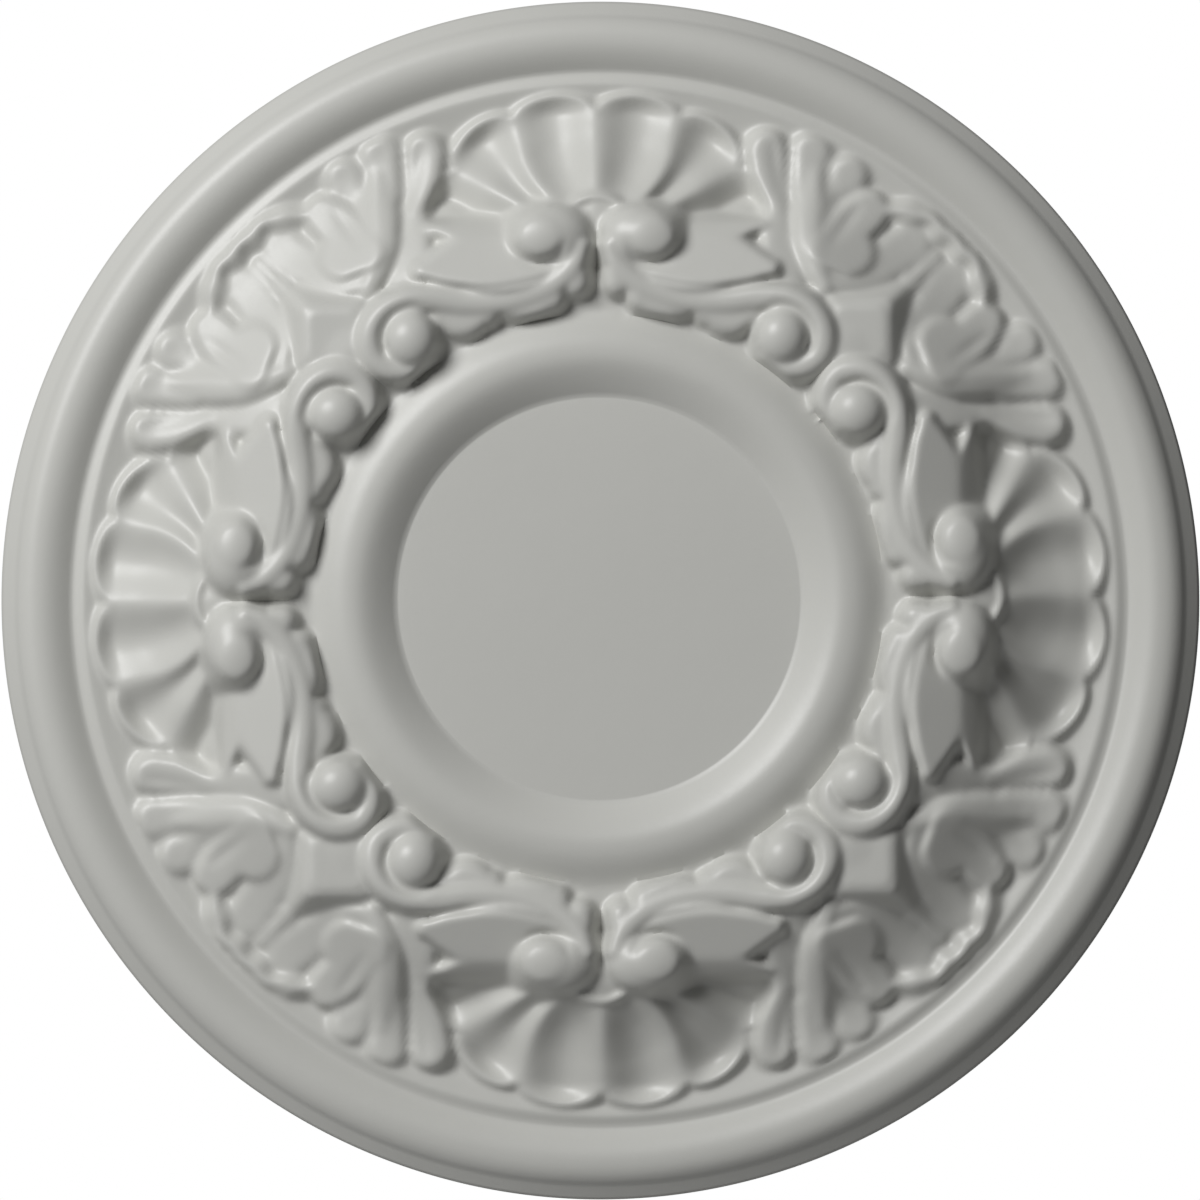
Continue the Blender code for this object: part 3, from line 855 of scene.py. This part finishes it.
@dataclass
class CeilingRose:
    """The one moulded piece."""

    metres: float
    segments: int = 720
    softening: int = 3
    softening_share: float = 0.5
    weld: float = 1e-3
    blank: TurnedBlank = field(default_factory=TurnedBlank)
    band: CarvedBand = field(default_factory=CarvedBand)
    finish: PrimerFinish = field(default_factory=PrimerFinish)
    sharp_angle: float = math.radians(60.0)

    def spin_blank(self) -> bmesh.types.BMesh:
        """Spin the section through an eighth about the Y axis, repeat that round and weld the seams.

        Returns:
            The plain blank, in shares.
        """
        mesh = bmesh.new()
        line = [mesh.verts.new((radius, -level, 0.0)) for radius, level in self.blank.section(self.band)]
        edges = [mesh.edges.new(pair) for pair in zip(line[:-1], line[1:])]
        about = {"cent": (0, 0, 0), "axis": (0, 1, 0)}
        turn = 2.0 * math.pi / EIGHTHS
        bmesh.ops.spin(mesh, geom=line + edges, angle=turn, steps=self.segments // EIGHTHS, **about)
        eighth = mesh.verts[:] + mesh.edges[:] + mesh.faces[:]
        bmesh.ops.spin(mesh, geom=eighth, angle=turn * (EIGHTHS - 1), steps=EIGHTHS - 1,
                       use_duplicate=True, **about)
        bmesh.ops.remove_doubles(mesh, verts=mesh.verts, dist=self.weld)
        bmesh.ops.recalc_face_normals(mesh, faces=mesh.faces)
        return mesh

    def carve(self, mesh: bmesh.types.BMesh) -> None:
        """Lift the front of the band by the height of the carving, and soften it a little.

        Args:
            mesh: The blank, in shares.
        """
        front = [vert for vert in mesh.verts
                 if vert.co.y < -0.5 * self.band.outer_ground
                 and self.band.inner < math.hypot(vert.co.x, vert.co.z) < self.band.outer]
        spots = np.array([sorted((abs(vert.co.x), abs(vert.co.z))) for vert in front])
        folded, which = np.unique(spots.round(3), axis=0, return_inverse=True)
        heights = self.band.rise(folded[:, 0], folded[:, 1])
        for vert, place in zip(front, which.ravel()):
            vert.co.y -= float(heights[place])
        for _ in range(self.softening):
            bmesh.ops.smooth_vert(mesh, verts=front, factor=self.softening_share, use_axis_y=True)

    def build(self) -> bpy.types.Object:
        """Make the piece, dress it and set it in the frame.

        Returns:
            The rose.
        """
        mesh = self.spin_blank()
        self.carve(mesh)
        bmesh.ops.scale(mesh, vec=Vector((self.metres,) * 3), verts=mesh.verts)
        data = bpy.data.meshes.new("moulded_rose")
        mesh.to_mesh(data)
        mesh.free()
        data.shade_smooth()
        data.set_sharp_from_angle(angle=self.sharp_angle)
        data.materials.append(self.finish.material())
        rose = bpy.data.objects.new("moulded_rose", data)
        bpy.context.scene.collection.objects.link(rose)
        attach(rose, BODY)
        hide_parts(NODE)
        LOG.info("moulded_rose: %d faces", len(data.polygons))
        return rose


@dataclass
class Studio:
    """Plain floor, soft lights, white surround and the photograph's camera, in metres."""

    radius: float
    photo_pixels: float = 1200.0
    outline_pixels: float = 1197.0
    camera_distance: float = 3.0
    camera_right: float = math.radians(0.9)
    camera_down: float = math.radians(1.2)
    camera_roll: float = math.radians(0.41)
    camera_reach: float = 50.0
    sensor: float = 36.0
    floor_level: float = -0.9
    floor_radius: float = 0.8
    floor_segments: int = 96
    floor_colour: tuple[float, float, float] = (0.8, 0.8, 0.8)
    floor_roughness: float = 0.7
    key_turn: float = math.radians(-48.0)
    key_height: float = math.radians(45.0)
    key_distance: float = 2.2
    key_size: float = 1.1
    key_watts: float = 43.2
    fill_towards: tuple[float, float, float] = (0.5, -1.0, -0.2)
    fill_size: float = 1.6
    fill_watts: float = 0.8
    ambient: float = 0.055

    def floor(self) -> None:
        """Pale floor under the rose, out of the photograph's view."""
        mesh = bmesh.new()
        bmesh.ops.create_circle(mesh, cap_ends=True, radius=self.floor_radius,
                                segments=self.floor_segments)
        bmesh.ops.translate(mesh, vec=(0, 0, self.floor_level), verts=mesh.verts)
        data = bpy.data.meshes.new("studio_floor")
        mesh.to_mesh(data)
        mesh.free()
        material = bpy.data.materials.new("Pale floor")
        material.use_nodes = True
        tree = ShaderTree(material.node_tree)
        shader = tree.node("ShaderNodeBsdfPrincipled",
                           inputs={"Base Color": (*self.floor_colour, 1.0),
                                   "Roughness": self.floor_roughness})
        tree.node("ShaderNodeOutputMaterial", inputs={"Surface": shader})
        data.materials.append(material)
        floor = bpy.data.objects.new("studio_floor", data)
        bpy.context.scene.collection.objects.link(floor)

    def area_light(self, name: str, towards: Vector, distance: float, size: float, watts: float) -> None:
        """Add a round soft light that faces the middle of the rose.

        Args:
            name: The light's name.
            towards: Direction from the rose to the light.
            distance: How far off it stands.
            size: Its diameter.
            watts: Its power.
        """
        data = bpy.data.lights.new(name, "AREA")
        data.shape = "DISK"
        data.size = size
        data.energy = watts
        light = bpy.data.objects.new(name, data)
        light.location = towards.normalized() * distance
        light.rotation_euler = towards.to_track_quat("Z", "Y").to_euler()
        bpy.context.scene.collection.objects.link(light)

    def lights(self) -> None:
        """Key from the upper left, weak fill from the front right, and an even surround."""
        flat = math.cos(self.key_height)
        key = Vector((math.sin(self.key_turn) * flat, -math.sin(self.key_height),
                      math.cos(self.key_turn) * flat))
        self.area_light("key", key, self.key_distance, self.key_size, self.key_watts)
        fill = Vector(self.fill_towards)
        self.area_light("fill", fill, self.key_distance, self.fill_size, self.fill_watts)
        world = bpy.data.worlds.new("Surround")
        world.use_nodes = True
        tree = ShaderTree(world.node_tree)
        seen = tree.node("ShaderNodeLightPath", output="Is Camera Ray")
        strength = self.ambient + (1.0 - self.ambient) * seen
        background = tree.node("ShaderNodeBackground", inputs={"Color": (1, 1, 1, 1), "Strength": strength})
        tree.node("ShaderNodeOutputWorld", inputs={"Surface": background})
        bpy.context.scene.world = world

    def camera(self) -> None:
        """Long lens, nearly square on, with the rose filling the frame."""
        view = 2.0 * self.radius * self.photo_pixels / self.outline_pixels
        data = bpy.data.cameras.new("camera")
        data.sensor_width = self.sensor
        data.lens = self.sensor * self.camera_distance / view
        data.clip_end = self.camera_reach
        camera = bpy.data.objects.new("camera", data)
        place = Vector((math.tan(self.camera_right), -1.0, -math.tan(self.camera_down)))
        camera.location = place * self.camera_distance
        turn = place.to_track_quat("Z", "Y") @ Quaternion((0.0, 0.0, 1.0), -self.camera_roll)
        camera.rotation_euler = turn.to_euler()
        bpy.context.scene.collection.objects.link(camera)
        bpy.context.scene.camera = camera

    def build(self) -> None:
        """Set up the whole studio."""
        self.floor()
        self.lights()
        self.camera()
        bpy.context.scene.view_settings.view_transform = "Standard"


def main() -> None:
    """Load the frame, and build the rose and the studio."""
    logging.basicConfig(level=logging.INFO, format="%(name)s: %(message)s")
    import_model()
    low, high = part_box(NODE)
    radius = 0.25 * (high[0] - low[0] + high[2] - low[2])
    rose = CeilingRose(metres=round(radius, 4) / DRAWN_RADIUS)
    rose.build()
    Studio(radius=radius).build()


if __name__ == "__main__":
    main()
